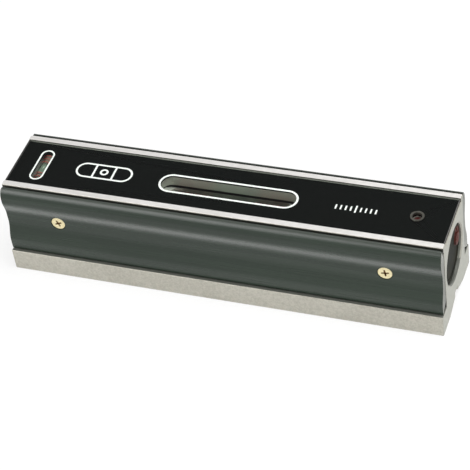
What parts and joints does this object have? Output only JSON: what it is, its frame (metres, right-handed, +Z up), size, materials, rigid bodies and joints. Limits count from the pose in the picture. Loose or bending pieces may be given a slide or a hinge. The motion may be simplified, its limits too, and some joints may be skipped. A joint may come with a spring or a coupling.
{
  "type": "precision machinist level",
  "caption": "Bar-type precision level with a clear face plate over a main vial and a cross vial, waisted side covers, and an adjusting screw that tilts the vial's tube on its pivot pin.",
  "frame": {"origin": "middle of the sole, on the plane that the ground feet rest on", "axes": "+X along the bar towards the adjuster's end, -Y towards the front cover, +Z up through the face plate"},
  "size_m": [0.2, 0.046, 0.046],
  "materials": {
    "ground_iron": "ground and oiled",
    "clear_plate": "clear, polished",
    "black_mask": "black print",
    "bright_steel": "turned",
    "dark_cover": "dark satin coating",
    "screw_brass": "worn plating",
    "dark_plug": "dark satin paint",
    "red_lacquer": "glossy lacquer",
    "tube_steel": "dull plating",
    "vial_glass": "clear",
    "vial_liquid": "clear liquid, pale green",
    "white_plastic": "satin",
    "block_brass": "machined"
  },
  "bodies": {
    "frame": {"body": "ground_iron", "face_plate": "clear_plate", "window_mask": "black_mask", "hole_eyelet": "bright_steel", "front_cover": "dark_cover", "back_cover": "dark_cover", "front_cover_screws": "screw_brass", "back_cover_screws": "screw_brass", "left_end_plug": "dark_plug", "right_end_plug": "dark_plug", "lock_screw": "bright_steel", "lock_screw_seal": "red_lacquer", "pivot_pin": "bright_steel", "adjuster_spring": "bright_steel", "cross_vial": "vial_glass", "cross_vial_fluid": "vial_liquid", "cross_cradle": "white_plastic"},
    "carrier": {"vial_tube": "tube_steel", "main_vial": "vial_glass", "main_vial_fluid": "vial_liquid", "vial_collars": "white_plastic", "pivot_block": "block_brass", "lift_block": "block_brass"},
    "adjuster": {"adjusting_screw": "bright_steel", "adjuster_seal": "red_lacquer", "retaining_ring": "bright_steel"}
  },
  "joints": [
    {"name": "adjuster_turn", "type": "hinge", "parent": "frame", "child": "adjuster", "pos_m": [0.0847, 0, 0.04], "axis": [0, 0, 1], "range_deg": [-360, 360]},
    {"name": "carrier_tilt", "type": "hinge", "parent": "frame", "child": "carrier", "pos_m": [-0.062, 0, 0.0314], "axis": [0, 1, 0], "range_deg": [-0.195, 0.195], "stiffness_Nm_per_rad": 2, "springref_deg": -2.3, "deforming": ["adjuster_spring"]}
  ],
  "couplings": [
    {"joint": "adjuster_turn", "follows": "carrier_tilt", "ratio": 1843.5}
  ]
}
